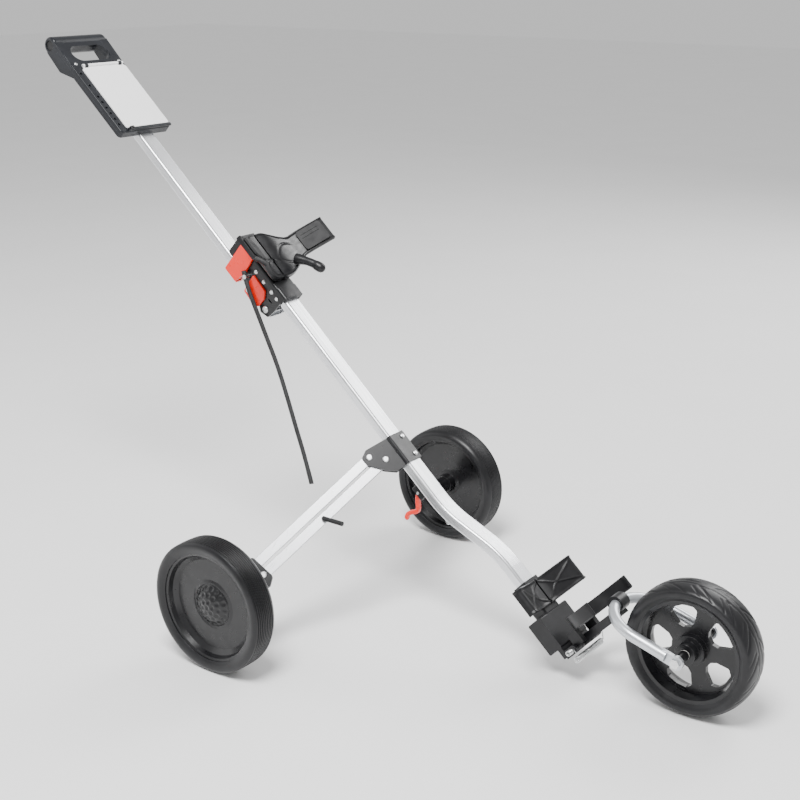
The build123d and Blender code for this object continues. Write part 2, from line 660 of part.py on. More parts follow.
def front_axle():
    """Hex-head bolt across the fork."""
    end = FORK_Y + 2.5
    bolt = y_rod(FRONT_X, FRONT_R, FRONT_AXLE_R, -end, end + 9)
    head = extrude(RegularPolygon(8.5, 6), amount=5.5)
    return bolt + Pos(FRONT_X, -end, FRONT_R) * Rot(90, 0, 0) * head


def front_nut():
    end = FORK_Y + 2.5
    nut = extrude(RegularPolygon(8.5, 6), amount=6.5)
    nut = Pos(FRONT_X, end, FRONT_R) * Rot(-90, 0, 0) * nut
    return nut - y_rod(FRONT_X, FRONT_R, FRONT_AXLE_R, end - 1, end + 12)


def front_spacers():
    pieces = []
    for sign in (-1, 1):
        y0 = sign * (32 + 1.0)
        y1 = sign * (FORK_Y - 2.5)
        sleeve = y_rod(FRONT_X, FRONT_R, 8, min(y0, y1), max(y0, y1))
        pieces.append(sleeve - y_rod(FRONT_X, FRONT_R, FRONT_AXLE_R, -90, 90))
    return pieces


# ---------------------------------------------------------------- lower bag bracket

def lower_block():
    """Moulded block on the tube's front end."""
    base = span_box(BLOCK_T0, BLOCK_T1, -BLOCK_HALF, BLOCK_HALF, BLOCK_N0, BLOCK_N1)
    base = fillet(base.edges().filter_by(Axis.Y), 3)
    nose = span_box(BLOCK_T1 - 4, BLOCK_T1 + 18, -BLOCK_HALF, BLOCK_HALF, BLOCK_N0 + 20, BLOCK_N1 - 2)
    ears = Part()
    for y in (-BLOCK_HALF + 4, -18, 18, BLOCK_HALF - 4):
        ear = span_box(FOOT_T - 7, FOOT_T + 7, y - 3, y + 3, BLOCK_N1 - 6, FOOT_N)
        ears += ear + y_rod(FOOT_T, FOOT_N, 7, y - 3, y + 3)
    neck = span_box(FORK_TOP_T + 6, BLOCK_T1 + 18, -12, 12, BLOCK_N1 - 6, FORK_TOP_N - 4)
    neck += y_rod(FORK_TOP_T, FORK_TOP_N, FORK_R + 5, -12, 12)
    seat = span_box(200, BLOCK_T0 + 1, -HALF_W - 4, HALF_W + 4, FRONT_N - TUBE_H / 2 - 4, FRONT_N + TUBE_H / 2 + 5)
    seat = fillet(seat.edges().filter_by(Axis.X), 4)
    block = base + nose + ears + neck + seat
    block -= filled_tube(150, MAIN_T1, FRONT_N)
    block -= y_rod(FOOT_T, FOOT_N, FOOT_ROD_R, -60, 60)
    return TILT * block - filled_fork()


LOW_WING_TIP_Y = 78.0
LOW_WING_TIP_N = 408.0


def lower_wing():
    """Left wing of the lower cradle: a creased sheet form with a turned-down lip."""
    top = FRONT_N + TUBE_H / 2 + 5
    profile = Polyline(
        (1, top), (22, top), (LOW_WING_TIP_Y - 4, LOW_WING_TIP_N - 8), (LOW_WING_TIP_Y + 8, LOW_WING_TIP_N - 16),
        (LOW_WING_TIP_Y + 11, LOW_WING_TIP_N - 13), (LOW_WING_TIP_Y, LOW_WING_TIP_N), (30, top + 14),
        (1, top + 7), close=True)
    wing = extrude(Plane.YZ.offset(206) * make_face(profile), amount=48)
    rib = Polyline((6, top), (44, top), (60, top + 22), (30, top + 13), (6, top + 6), close=True)
    wing += extrude(Plane.YZ.offset(226) * make_face(rib), amount=5)
    return TILT * wing


def bag_foot():
    """Curved rest for the bag's base, on a cross rod."""
    outer = ThreePointArc((-66, 484), (0, FOOT_N + 14), (66, 484))
    tip_r = Line((66, 484), (58, 490))
    inner = ThreePointArc((58, 490), (0, FOOT_N + 27), (-58, 490))
    tip_l = Line((-58, 490), (-66, 484))
    bar = extrude(Plane.YZ.offset(FOOT_T - 46) * make_face([outer, tip_r, inner, tip_l]), amount=24)
    bar = fillet(bar.edges().filter_by(Axis.X), 3)
    bar = chamfer(bar.faces().sort_by(Axis.X)[-1].edges(), 2)
    for y in (-28, 28):
        web = span_box(FOOT_T - 24, FOOT_T, y - 5, y + 5, FOOT_N + 0.5, FOOT_N + 22)
        bar += web + y_rod(FOOT_T, FOOT_N, 7, y - 5, y + 5)
    return TILT * (bar - y_rod(FOOT_T, FOOT_N, FOOT_ROD_R + RUN, -60, 60))


def foot_rod():
    return TILT * y_rod(FOOT_T, FOOT_N, FOOT_ROD_R, -BLOCK_HALF - 4, BLOCK_HALF + 4)


def foot_springs():
    """Outer form of the two torsion springs round the cross rod's ends."""
    pieces = []
    for sign in (-1, 1):
        y0 = sign * (BLOCK_HALF + 5)
        y1 = sign * (BLOCK_HALF + 17)
        pieces.append(TILT * y_rod(FOOT_T, FOOT_N, 4.5, min(y0, y1), max(y0, y1)))
    return pieces


# ---------------------------------------------------------------- release lever

def lever_mount():
    mount = span_box(LEVER_T - 14, LEVER_T + 14, -9, 9, LEVER_N - 5, MAIN_BOTTOM)
    mount = fillet(mount.edges().filter_by(Axis.Z), 3)
    mount -= span_box(LEVER_T - 20, LEVER_T + 20, -5, 5, LEVER_N - 10, MAIN_BOTTOM - 3)
    return TILT * (mount - y_rod(LEVER_T, LEVER_N, LEVER_PIN_R, -20, 20))


def release_lever():
    """S-shaped red finger lever."""
    path = Spline((LEVER_T, 0, LEVER_N), (LEVER_T + 8, 0, LEVER_N - 18), (LEVER_T + 20, 0, LEVER_N - 32),
                  (LEVER_T + 14, 0, LEVER_N - 48), (LEVER_T + 16, 0, LEVER_N - 62))
    section = Plane(origin=path @ 0, z_dir=path % 0, x_dir=(0, 1, 0)) * RectangleRounded(8.6, 8, 2.5)
    lever = sweep(section, path=path) + y_rod(LEVER_T, LEVER_N, 5.5, -4.3, 4.3)
    tip = Pos(*(path @ 1)) * Sphere(4.2)
    return TILT * (lever + tip - y_rod(LEVER_T, LEVER_N, LEVER_PIN_R + RUN, -20, 20))


def lever_pin():
    return TILT * y_rod(LEVER_T, LEVER_N, LEVER_PIN_R, -10.5, 10.5)


def stay_rod():
    """Thin steel stay under the tube, from the lever mount to the bend."""
    line = Line((LEVER_T + 13, 0, MAIN_BOTTOM - 6), (BEND_T1 + 18, 0, MAIN_BOTTOM - 5))
    rod = sweep(Plane(origin=line @ 0, z_dir=line % 0) * Circle(2.5), path=line)
    foot = span_box(BEND_T1 + 12, BEND_T1 + 18, -4, 4, MAIN_BOTTOM - 7, MAIN_BOTTOM + 10)
    return TILT * (rod + foot - filled_tube(-100, 100, MAIN_N + 4))


def arm_peg():
    """Sleeved stop peg on the right arm's bar B, pointing forward."""
    foot = link_frame(link_disc((-92, -167), 3, BAR_H / 2, BAR_H / 2 + 4))
    root = (TILT * Pos(0, -LINK_Y, LINK_N) * Rot(DROOP, 0, 0) * Pos(-92, -167, BAR_H / 2 + 4)).position
    sleeve = Pos(root.X + PEG_LENGTH / 2, root.Y, root.Z) * Rot(0, 90, 0) * Cylinder(4, PEG_LENGTH)
    return sleeve + foot


# ---------------------------------------------------------------- bag strap

def strap_route():
    """Centre line of the hanging strap, from its stud down to its free end."""
    return [(x, STRAP_Y, z) for x, z in STRAP_POINTS]


def corner_radii(points):
    """Arc radii at the inner points: 0.45 of the shorter run over the tangent of half the turn."""
    radii = []
    for before, here, after in zip(points, points[1:], points[2:]):
        run_in = Vector(*here) - Vector(*before)
        run_out = Vector(*after) - Vector(*here)
        half_turn = math.radians(run_in.get_angle(run_out)) / 2
        radii.append(0.45 * min(run_in.length, run_out.length) / math.tan(half_turn))
    return radii


def bag_strap():
    """Flat webbing strap, its faces to the sides."""
    points = strap_route()
    radii = corner_radii(points)
    path = FilletPolyline(*points, radius=radii)
    print("strap radii", [round(r) for r in radii], "length", round(path.length, 1))
    start = Plane(origin=path @ 0, x_dir=(0, 1, 0), z_dir=path % 0)
    strap = sweep(start * Rectangle(STRAP_THICK, STRAP_WIDTH), path=path)
    print("strap volume", round(strap.volume), "expected", round(path.length * STRAP_THICK * STRAP_WIDTH))
    return strap - strap_anchor()


def strap_anchor():
    """Shouldered stud on the right hinge plate that the strap's top end hangs on."""
    stud = y_rod(ANCHOR_T, ANCHOR_N, 2.0, STRAP_Y - 2, -PLATE_OUT)
    shoulder = y_rod(ANCHOR_T, ANCHOR_N, 4.0, STRAP_Y + STRAP_THICK / 2, -PLATE_OUT)
    head = y_rod(ANCHOR_T, ANCHOR_N, 4.0, STRAP_Y - STRAP_THICK / 2 - 2, STRAP_Y - STRAP_THICK / 2)
    return TILT * (stud + shoulder + head)


def build():
    os.makedirs("parts", exist_ok=True)
    save("main_tube", main_tube())
    save("upper_tube", upper_tube())
    top, bottom = handle_shells()
    save("handle_top_shell", top + scorecard_ledge())
    save("handle_bottom_shell", bottom)
    save("grip_end_caps", *grip_caps())
    save("handle_screws", *[TILT * (Pos(SCREW_T, y, SHELL_TOP) * screw(SCREW_R, 3.2, 1.8, 13)) for y in SCREW_Y])
    save("scorecard_lid", scorecard_lid())
    save("lid_hinge_pin", lid_pin())
    save("lid_clip", lid_clip())
    plate = hinge_plate()
    save("hinge_plates", TILT * plate, TILT * other_side(plate))
    save("fold_pin", fold_pin())
    save("catch_yoke", catch_yoke())
    save("latch_lever", latch_lever())
    save("latch_pin", latch_pin())
    save("upper_bracket", upper_bracket())
    wing = TILT * cradle_wing()
    save("cradle_wings", wing + TILT * strap_finger(), other_side(wing))
    save("wing_pads", wing_pad(), other_side(wing_pad()))
    save("yoke_top_plate", yoke_top())
    save("yoke_bottom_plate", yoke_bottom())
    save("frame_rivets", *hinge_rivets(), *yoke_rivets())
    pins = [link_pin(link_point(point)) for point in (PIVOT_A, PIVOT_B)]
    save("arm_pivot_pins", *pins, *[other_side(pin) for pin in pins])
    far_pins = [link_pin(link_point(point, ARM_LENGTH)) for point in (PIVOT_A, PIVOT_B)]
    right = {
        "arm_bar_a": [arm_bar(PIVOT_A, RUN)], "arm_bar_b": [arm_bar(PIVOT_B, OPEN_BORE)],
        "wheel_carrier": [carrier()], "carrier_pins": far_pins, "stub_axle": [stub_axle()]}
    wheel = {
        "rear_tyre": [rear_tyre()], "rear_rim": [rear_rim()], "hub_cap": [hub_cap()], "axle_nut": [axle_nut()],
        "hub_bushes": hub_bushes((-24, -10), (-6, 7), AXLE_R, AXLE_R + 3)}
    for name, solids in wheel.items():
        right[name] = [stand_wheel(solid, 0, -REAR_Y, REAR_R, -1) for solid in solids]
    for name, solids in right.items():
        save(name + "_right", *solids)
        save(name + "_left", *[other_side(solid) for solid in solids])
    front = {
        "front_tyre": [front_tyre()], "front_rim": [front_rim()],
        "front_bushes": hub_bushes((-32, -18), (18, 32), FRONT_AXLE_R, FRONT_AXLE_R + 3)}
    for name, solids in front.items():
        save(name, *[stand_wheel(solid, FRONT_X, 0, FRONT_R, -1) for solid in solids])
    save("fork_tube", fork_tube())
    save("front_axle_bolt", front_axle())
    save("front_axle_nut", front_nut())
    save("front_spacers", *front_spacers())
    save("lower_block", lower_block())
    save("lower_wings", lower_wing(), other_side(lower_wing()))
    save("bag_foot", bag_foot())
    save("arm_peg", arm_peg())
    save("bag_strap", bag_strap())
    save("strap_anchor", strap_anchor())
    save("foot_rod", foot_rod())
    save("foot_springs", *foot_springs())
    save("lever_mount", lever_mount())
    save("release_lever", release_lever())
    save("lever_pin", lever_pin())
    save("stay_rod", stay_rod())


build()
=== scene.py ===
import json
import math

import bmesh
import bpy
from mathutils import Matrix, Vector


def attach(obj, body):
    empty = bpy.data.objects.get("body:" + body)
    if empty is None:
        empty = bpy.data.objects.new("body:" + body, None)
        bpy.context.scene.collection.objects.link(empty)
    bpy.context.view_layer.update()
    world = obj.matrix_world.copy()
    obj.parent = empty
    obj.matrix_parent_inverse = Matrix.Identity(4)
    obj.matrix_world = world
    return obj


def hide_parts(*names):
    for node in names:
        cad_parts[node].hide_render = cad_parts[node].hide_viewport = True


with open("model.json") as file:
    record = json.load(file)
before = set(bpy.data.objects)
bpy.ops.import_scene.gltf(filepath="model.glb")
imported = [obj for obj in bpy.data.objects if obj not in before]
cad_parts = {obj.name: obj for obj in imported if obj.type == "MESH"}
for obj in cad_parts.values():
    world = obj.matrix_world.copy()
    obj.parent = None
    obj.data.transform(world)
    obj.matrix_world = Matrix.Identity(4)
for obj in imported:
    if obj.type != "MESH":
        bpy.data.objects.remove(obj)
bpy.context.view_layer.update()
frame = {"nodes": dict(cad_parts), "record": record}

# Millimetres become metres through MM. The tube frame has t down the tube, y across and n out of its top face.
MM = 0.001
TUBE_SLOPE = math.radians(42.2)
ORIGIN_X = 76.58


def tube_point(t, y, n):
    """A tube-frame point, in millimetres, as a row-frame point in metres."""
    x = t * math.cos(TUBE_SLOPE) + n * math.sin(TUBE_SLOPE) - ORIGIN_X
    z = -t * math.sin(TUBE_SLOPE) + n * math.cos(TUBE_SLOPE)
    return Vector((x, y, z)) * MM


# ---------------------------------------------------------------- camera

CAMERA_AT = (1.39495, -1.82032, 1.14515)
CAMERA_YAW = 36.415
CAMERA_PITCH = 18.113
CAMERA_LENS = 61.91
CAMERA_SENSOR = 36.0
CAMERA_NEAR = 0.05

camera_data = bpy.data.cameras.new("camera")
camera_data.lens = CAMERA_LENS
camera_data.sensor_width = CAMERA_SENSOR
camera_data.clip_start = CAMERA_NEAR
camera = bpy.data.objects.new("camera", camera_data)
bpy.context.scene.collection.objects.link(camera)
camera.location = CAMERA_AT
camera.rotation_euler = (math.radians(90.0 - CAMERA_PITCH), 0.0, math.radians(CAMERA_YAW))
bpy.context.scene.camera = camera


# ---------------------------------------------------------------- strap

STRAP_WIDTH = 0.010
STRAP_THICK = 0.002
STRAP_Y = -0.030
HEM_LENGTH = 0.022
HEM_SWELL = 1.35
STRAP_POINTS = (
    (-0.200, 0.595), (-0.192, 0.565), (-0.170, 0.521), (-0.149, 0.478), (-0.125, 0.430),
    (-0.104, 0.375), (-0.084, 0.318), (-0.064, 0.264), (-0.050, 0.217))
# Half of the section, as (share of the width, share of the thickness): rolled selvedges and a flat middle.
STRAP_SECTION = (
    (-0.5, 0.0), (-0.47, 0.42), (-0.4, 0.5), (-0.34, 0.34), (0.0, 0.38),
    (0.34, 0.34), (0.4, 0.5), (0.47, 0.42), (0.5, 0.0))


def strap_line():
    """Points along the strap's smooth centre line."""
    data = bpy.data.curves.new("strap_route", "CURVE")
    data.dimensions = "3D"
    spline = data.splines.new("NURBS")
    spline.points.add(len(STRAP_POINTS) - 1)
    for point, (x, z) in zip(spline.points, STRAP_POINTS):
        point.co = (x - ORIGIN_X * MM, STRAP_Y, z, 1.0)
    spline.order_u = 3
    spline.use_endpoint_u = True
    spline.resolution_u = 12
    route = bpy.data.objects.new("strap_route", data)
    bpy.context.scene.collection.objects.link(route)
    bpy.context.view_layer.update()
    line = [v.co.copy() for v in bpy.data.meshes.new_from_object(route).vertices]
    bpy.data.objects.remove(route)
    return line


def bag_strap():
    """Webbing strap with its faces to the sides and a doubled hem at each end."""
    line = strap_line()
    section = list(STRAP_SECTION) + [(w, -h) for w, h in STRAP_SECTION[-2:0:-1]]
    verts = []
    run = [0.0]
    for here, after in zip(line, line[1:]):
        run.append(run[-1] + (after - here).length)
    for i, point in enumerate(line):
        ahead = (line[min(i + 1, len(line) - 1)] - line[max(i - 1, 0)]).normalized()
        across = ahead.cross(Vector((0.0, 1.0, 0.0))).normalized()
        in_hem = run[-1] - run[i] < HEM_LENGTH or run[i] < HEM_LENGTH
        swell = HEM_SWELL if in_hem else 1.0
        for w, h in section:
            verts.append(point + across * (w * STRAP_WIDTH) + Vector((0.0, h * STRAP_THICK * swell, 0.0)))
    faces = sweep_faces(len(line), len(section))
    piece = mesh_piece("bag_strap_webbing", verts, faces, "frame", "strap_web", 50.0, ("bag_strap",))


# ---------------------------------------------------------------- materials

EDGE_ROUND = 0.0007
EDGE_WORN = 0.0011
EDGE_SAMPLES = 4
COAT_ROUGHNESS = 0.15
NOISE_ROUGHNESS = 0.55
DULL_SPECULAR = 0.4


class Shader:
    """A material's node tree with short calls for the nodes that the looks below share."""

    def __init__(self, name, color, roughness, metallic=0.0, coat=0.0):
        self.material = bpy.data.materials.new(name)
        self.material.use_nodes = True
        self.tree = self.material.node_tree
        self.bsdf = self.tree.nodes["Principled BSDF"]
        self.bsdf.inputs["Base Color"].default_value = (*color, 1.0)
        self.bsdf.inputs["Roughness"].default_value = roughness
        self.bsdf.inputs["Metallic"].default_value = metallic
        self.bsdf.inputs["Coat Weight"].default_value = coat
        self.bsdf.inputs["Coat Roughness"].default_value = COAT_ROUGHNESS
        coords = self.tree.nodes.new("ShaderNodeTexCoord")
        self.coords = coords.outputs["Object"]
        self.color = color
        self.height = self.rounded(EDGE_ROUND)

    def rounded(self, radius):
        """Surface normal with sharp edges rounded off."""
        node = self.tree.nodes.new("ShaderNodeBevel")
        node.samples = EDGE_SAMPLES
        node.inputs["Radius"].default_value = radius
        return node.outputs["Normal"]

    def mapped(self, scale, turn):
        """Object coordinates turned, then scaled."""
        rotate = self.tree.nodes.new("ShaderNodeMapping")
        rotate.inputs["Rotation"].default_value = turn
        self.tree.links.new(self.coords, rotate.inputs["Vector"])
        stretch = self.tree.nodes.new("ShaderNodeMapping")
        stretch.inputs["Scale"].default_value = scale
        self.tree.links.new(rotate.outputs["Vector"], stretch.inputs["Vector"])
        return stretch.outputs["Vector"]

    def noise(self, scale, detail, vector=None):
        node = self.tree.nodes.new("ShaderNodeTexNoise")
        node.inputs["Scale"].default_value = scale
        node.inputs["Detail"].default_value = detail
        node.inputs["Roughness"].default_value = NOISE_ROUGHNESS
        self.tree.links.new(vector or self.coords, node.inputs["Vector"])
        return node.outputs["Fac"]

    def cells(self, scale):
        node = self.tree.nodes.new("ShaderNodeTexVoronoi")
        node.inputs["Scale"].default_value = scale
        self.tree.links.new(self.coords, node.inputs["Vector"])
        return node.outputs["Distance"]

    def waves(self, scale, direction):
        node = self.tree.nodes.new("ShaderNodeTexWave")
        node.bands_direction = direction
        node.inputs["Scale"].default_value = scale
        self.tree.links.new(self.coords, node.inputs["Vector"])
        return node.outputs["Fac"]

    def spread(self, value, low, high, from_low=0.3, from_high=0.7):
        """Map a texture's value to the range low..high."""
        node = self.tree.nodes.new("ShaderNodeMapRange")
        node.inputs["From Min"].default_value = from_low
        node.inputs["From Max"].default_value = from_high
        node.inputs["To Min"].default_value = low
        node.inputs["To Max"].default_value = high
        self.tree.links.new(value, node.inputs["Value"])
        return node.outputs["Result"]

    def tint(self, value, other, from_low=0.35, from_high=0.65):
        """Blend the base colour towards another where the value is high."""
        mix = self.tree.nodes.new("ShaderNodeMix")
        mix.data_type = "RGBA"
        source = self.bsdf.inputs["Base Color"]
        if source.links:
            self.tree.links.new(source.links[0].from_socket, mix.inputs["A"])
        else:
            mix.inputs["A"].default_value = (*self.color, 1.0)
        mix.inputs["B"].default_value = (*other, 1.0)
        share = self.spread(value, 0.0, 1.0, from_low, from_high)
        self.tree.links.new(share, mix.inputs["Factor"])
        self.tree.links.new(mix.outputs["Result"], source)

    def rough(self, value, low, high):
        self.tree.links.new(self.spread(value, low, high), self.bsdf.inputs["Roughness"])

    def bump(self, value, strength, distance):
        node = self.tree.nodes.new("ShaderNodeBump")
        node.inputs["Strength"].default_value = strength
        node.inputs["Distance"].default_value = distance
        self.tree.links.new(value, node.inputs["Height"])
        self.tree.links.new(self.height, node.inputs["Normal"])
        self.height = node.outputs["Normal"]
        self.tree.links.new(self.height, self.bsdf.inputs["Normal"])

    def edge_wear(self, other, low=0.93, high=0.72):
        """Lighter, rubbed edges where the surface turns sharply."""
        geometry = self.tree.nodes.new("ShaderNodeNewGeometry")
        turn = self.tree.nodes.new("ShaderNodeVectorMath")
        turn.operation = "DOT_PRODUCT"
        self.tree.links.new(self.rounded(EDGE_WORN), turn.inputs[0])
        self.tree.links.new(geometry.outputs["Normal"], turn.inputs[1])
        self.tint(turn.outputs["Value"], other, low, high)


def anodised_tube():
    shader = Shader("anodised_tube", (0.80, 0.81, 0.83), 0.3, metallic=1.0)
    along = shader.mapped(scale=(6.0, 700.0, 700.0), turn=(0.0, -TUBE_SLOPE, 0.0))
    lines = shader.noise(1.0, 4.0, along)
    shader.tint(lines, (0.70, 0.71, 0.73), 0.35, 0.8)
    shader.tint(shader.noise(9.0, 4.0), (0.86, 0.87, 0.88), 0.5, 0.75)
    shader.rough(lines, 0.26, 0.4)
    shader.bump(lines, 0.12, 0.0001)
    shader.bump(shader.noise(1800.0, 2.0), 0.06, 0.00005)
    return shader.material


def arm_metal():
    shader = Shader("arm_metal", (0.80, 0.81, 0.83), 0.3, metallic=1.0)
    across = shader.mapped(scale=(700.0, 8.0, 700.0), turn=(math.radians(-40.0), 0.0, 0.0))
    lines = shader.noise(1.0, 4.0, across)
    shader.tint(lines, (0.72, 0.73, 0.75), 0.35, 0.8)
    shader.rough(lines, 0.26, 0.42)
    shader.bump(lines, 0.1, 0.0001)
    return shader.material


def fork_paint():
    shader = Shader("fork_paint", (0.56, 0.58, 0.61), 0.34, metallic=0.75, coat=0.25)
    shader.tint(shader.noise(2600.0, 2.0), (0.70, 0.72, 0.75), 0.45, 0.7)
    shader.tint(shader.noise(14.0, 5.0), (0.50, 0.52, 0.55), 0.55, 0.8)
    shader.rough(shader.noise(40.0, 4.0), 0.28, 0.42)
    shader.bump(shader.noise(220.0, 3.0), 0.08, 0.0002)
    return shader.material


def moulded(name, color, light, roughness, grain=1400.0, coat=0.0):
    """Moulded plastic: fine spark-eroded grain, slight colour drift and rubbed edges."""
    shader = Shader(name, color, roughness, coat=coat)
    shader.tint(shader.noise(22.0, 5.0), light, 0.48, 0.9)
    shader.edge_wear(tuple(min(1.0, c * 1.8 + 0.01) for c in light))
    shader.bsdf.inputs["Specular IOR Level"].default_value = DULL_SPECULAR
    shader.rough(shader.noise(60.0, 5.0), roughness - 0.07, roughness + 0.09)
    shader.bump(shader.cells(grain), 0.25, 0.00012)
    shader.bump(shader.noise(grain * 0.4, 3.0), 0.12, 0.00012)
    return shader.material


def red_gloss():
    shader = Shader("red_gloss", (0.82, 0.014, 0.002), 0.32, coat=0.2)
    shader.tint(shader.noise(14.0, 3.0), (0.88, 0.020, 0.003), 0.3, 0.8)
    shader.edge_wear((0.95, 0.06, 0.015))
    shader.rough(shader.noise(90.0, 4.0), 0.24, 0.38)
    shader.bump(shader.noise(500.0, 3.0), 0.08, 0.0002)
    return shader.material


def foam_tyre():
    shader = Shader("foam_tyre", (0.004, 0.004, 0.005), 0.36)
    shader.tint(shader.noise(18.0, 6.0), (0.014, 0.014, 0.016), 0.45, 0.8)
    shader.tint(shader.noise(420.0, 3.0), (0.022, 0.022, 0.024), 0.6, 0.85)
    shader.bsdf.inputs["Specular IOR Level"].default_value = DULL_SPECULAR
    shader.rough(shader.noise(35.0, 5.0), 0.3, 0.44)
    shader.bump(shader.cells(1100.0), 0.15, 0.0001)
    shader.bump(shader.noise(240.0, 4.0), 0.12, 0.0002)
    return shader.material


def zinc_steel():
    shader = Shader("zinc_steel", (0.66, 0.67, 0.68), 0.3, metallic=1.0)
    shader.tint(shader.cells(700.0), (0.78, 0.79, 0.79), 0.1, 0.7)
    shader.edge_wear((0.86, 0.86, 0.85))
    shader.rough(shader.noise(300.0, 4.0), 0.22, 0.42)
    shader.bump(shader.noise(900.0, 3.0), 0.12, 0.0001)
    return shader.material


def black_coat():
    shader = Shader("black_coat", (0.006, 0.006, 0.007), 0.3, coat=0.2)
    shader.tint(shader.noise(16.0, 5.0), (0.014, 0.014, 0.016), 0.45, 0.8)
    shader.edge_wear((0.09, 0.09, 0.095))
    shader.bsdf.inputs["Specular IOR Level"].default_value = DULL_SPECULAR
    shader.rough(shader.noise(70.0, 4.0), 0.26, 0.42)
    shader.bump(shader.noise(650.0, 3.0), 0.22, 0.00025)
    return shader.material


def white_plastic():
    shader = Shader("white_plastic", (0.92, 0.92, 0.92), 0.38, coat=0.15)
    shader.tint(shader.noise(12.0, 5.0), (0.96, 0.96, 0.96), 0.4, 0.8)
    shader.edge_wear((0.78, 0.78, 0.78))
    shader.rough(shader.noise(50.0, 4.0), 0.3, 0.46)
    shader.bump(shader.noise(800.0, 3.0), 0.08, 0.0001)
    return shader.material


def webbing():
    """Flat weave: diagonal ribs crossed by picks."""
    shader = Shader("webbing", (0.006, 0.006, 0.007), 0.72)
    ribs = shader.waves(330.0, "DIAGONAL")
    picks = shader.waves(260.0, "Z")
    shader.tint(ribs, (0.02, 0.02, 0.022), 0.3, 0.9)
    shader.tint(shader.noise(40.0, 5.0), (0.026, 0.026, 0.028), 0.6, 0.9)
    shader.rough(shader.noise(90.0, 3.0), 0.6, 0.85)
    shader.bump(ribs, 0.6, 0.0004)
    shader.bump(picks, 0.35, 0.0003)
    shader.bsdf.inputs["Sheen Weight"].default_value = 0.1
    return shader.material


LOOKS = {
    "silver_tube": anodised_tube(),
    "fork_silver": fork_paint(),
    "black_plastic": moulded("black_moulding", (0.005, 0.005, 0.006), (0.012, 0.012, 0.014), 0.36),
    "handle_plastic": moulded("handle_moulding", (0.005, 0.006, 0.009), (0.012, 0.014, 0.019), 0.34, 1100.0),
    "red_plastic": red_gloss(),
    "black_metal": black_coat(),
    "eva_tyre": foam_tyre(),
    "wheel_plastic": moulded(
        "wheel_moulding", (0.005, 0.005, 0.006), (0.011, 0.011, 0.012), 0.3, 900.0, 0.15),
    "white_lid": white_plastic(),
    "bright_steel": zinc_steel(),
    "white_nylon": moulded("nylon_moulding", (0.72, 0.71, 0.66), (0.80, 0.79, 0.74), 0.4),
    "strap_web": webbing(),
    "soft_rubber": moulded("soft_rubber", (0.012, 0.012, 0.013), (0.03, 0.03, 0.031), 0.55, 1700.0),
}
ARM_METAL = arm_metal()


def set_material(obj, material):
    obj.data.materials.clear()
    obj.data.materials.append(material)


for part in frame["record"]["subparts"]:
    look = LOOKS[part["material_slot"]]
    if part["node"].startswith("arm_bar"):
        look = ARM_METAL
    set_material(frame["nodes"][part["node"]], look)


# ---------------------------------------------------------------- mesh helpers

def mesh_piece(name, verts, faces, body, slot, sharp=35.0, nodes=()):
    """A closed mesh piece that rides on a body and may stand for CAD nodes."""
    data = bpy.data.meshes.new(name)
    data.from_pydata([tuple(v) for v in verts], [], faces)
    mesh = bmesh.new()
    mesh.from_mesh(data)
    bmesh.ops.recalc_face_normals(mesh, faces=mesh.faces)
    mesh.to_mesh(data)
    mesh.free()
    data.shade_smooth()
    data.set_sharp_from_angle(angle=math.radians(sharp))
    obj = bpy.data.objects.new(name, data)
    bpy.context.scene.collection.objects.link(obj)
    obj.data.materials.append(LOOKS[slot])
    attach(obj, body)
    if nodes:
        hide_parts(*nodes)
    return obj


def ring_faces(steps, count):
    """Quads of a grid of `steps` turns by `count` profile points, closed both ways."""
    faces = []
    for i in range(steps):
        j = (i + 1) % steps
        for k in range(count):
            m = (k + 1) % count
            faces.append((i * count + k, j * count + k, j * count + m, i * count + m))
    return faces


def sweep_faces(rows, count):
    """Quads between successive rows of `count` points, and a face at each end."""
    faces = []
    for i in range(rows - 1):
        for k in range(count):
            m = (k + 1) % count
            faces.append((i * count + k, (i + 1) * count + k, (i + 1) * count + m, i * count + m))
    faces.append(tuple(range(count)))
    faces.append(tuple(range((rows - 1) * count, rows * count))[::-1])
    return faces


def join_meshes(pieces):
    verts, faces = [], []
    for more, quads in pieces:
        base = len(verts)
        verts += more
        faces += [tuple(base + i for i in quad) for quad in quads]
    return verts, faces


def tube_mesh(path, radius, sides):
    """Verts and faces of a round bar along a list of points, with flat ends.

    The radius is one number, or a list with one for each point."""
    verts = []
    side = None
    for i, point in enumerate(path):
        ahead = (path[min(i + 1, len(path) - 1)] - path[max(i - 1, 0)]).normalized()
        if side is None:
            side = ahead.orthogonal().normalized()
        side = (side - ahead * side.dot(ahead)).normalized()
        up = ahead.cross(side)
        for k in range(sides):
            angle = 2 * math.pi * k / sides
            size = radius[i] if isinstance(radius, list) else radius
            verts.append(point + (side * math.cos(angle) + up * math.sin(angle)) * size)
    faces = []
    for i in range(len(path) - 1):
        for k in range(sides):
            m = (k + 1) % sides
            faces.append((i * sides + k, i * sides + m, (i + 1) * sides + m, (i + 1) * sides + k))
    faces.append(tuple(range(sides))[::-1])
    faces.append(tuple(range((len(path) - 1) * sides, len(path) * sides)))
    return verts, faces


def smoothstep(low, high, value):
    share = min(1.0, max(0.0, (value - low) / (high - low)))
    return share * share * (3 - 2 * share)


bag_strap()


# ---------------------------------------------------------------- wheels

REAR_R = 115.0
REAR_Y = 345.0
REAR_STEPS = 180
GROOVES = 9
GROOVE_PITCH = 4.1
GROOVE_DEPTH = 1.5
GROOVE_MOUTH = 1.3
GROOVE_FLOOR = 0.6
TREAD_HALF = 19.0
TREAD_CROWN = 0.9


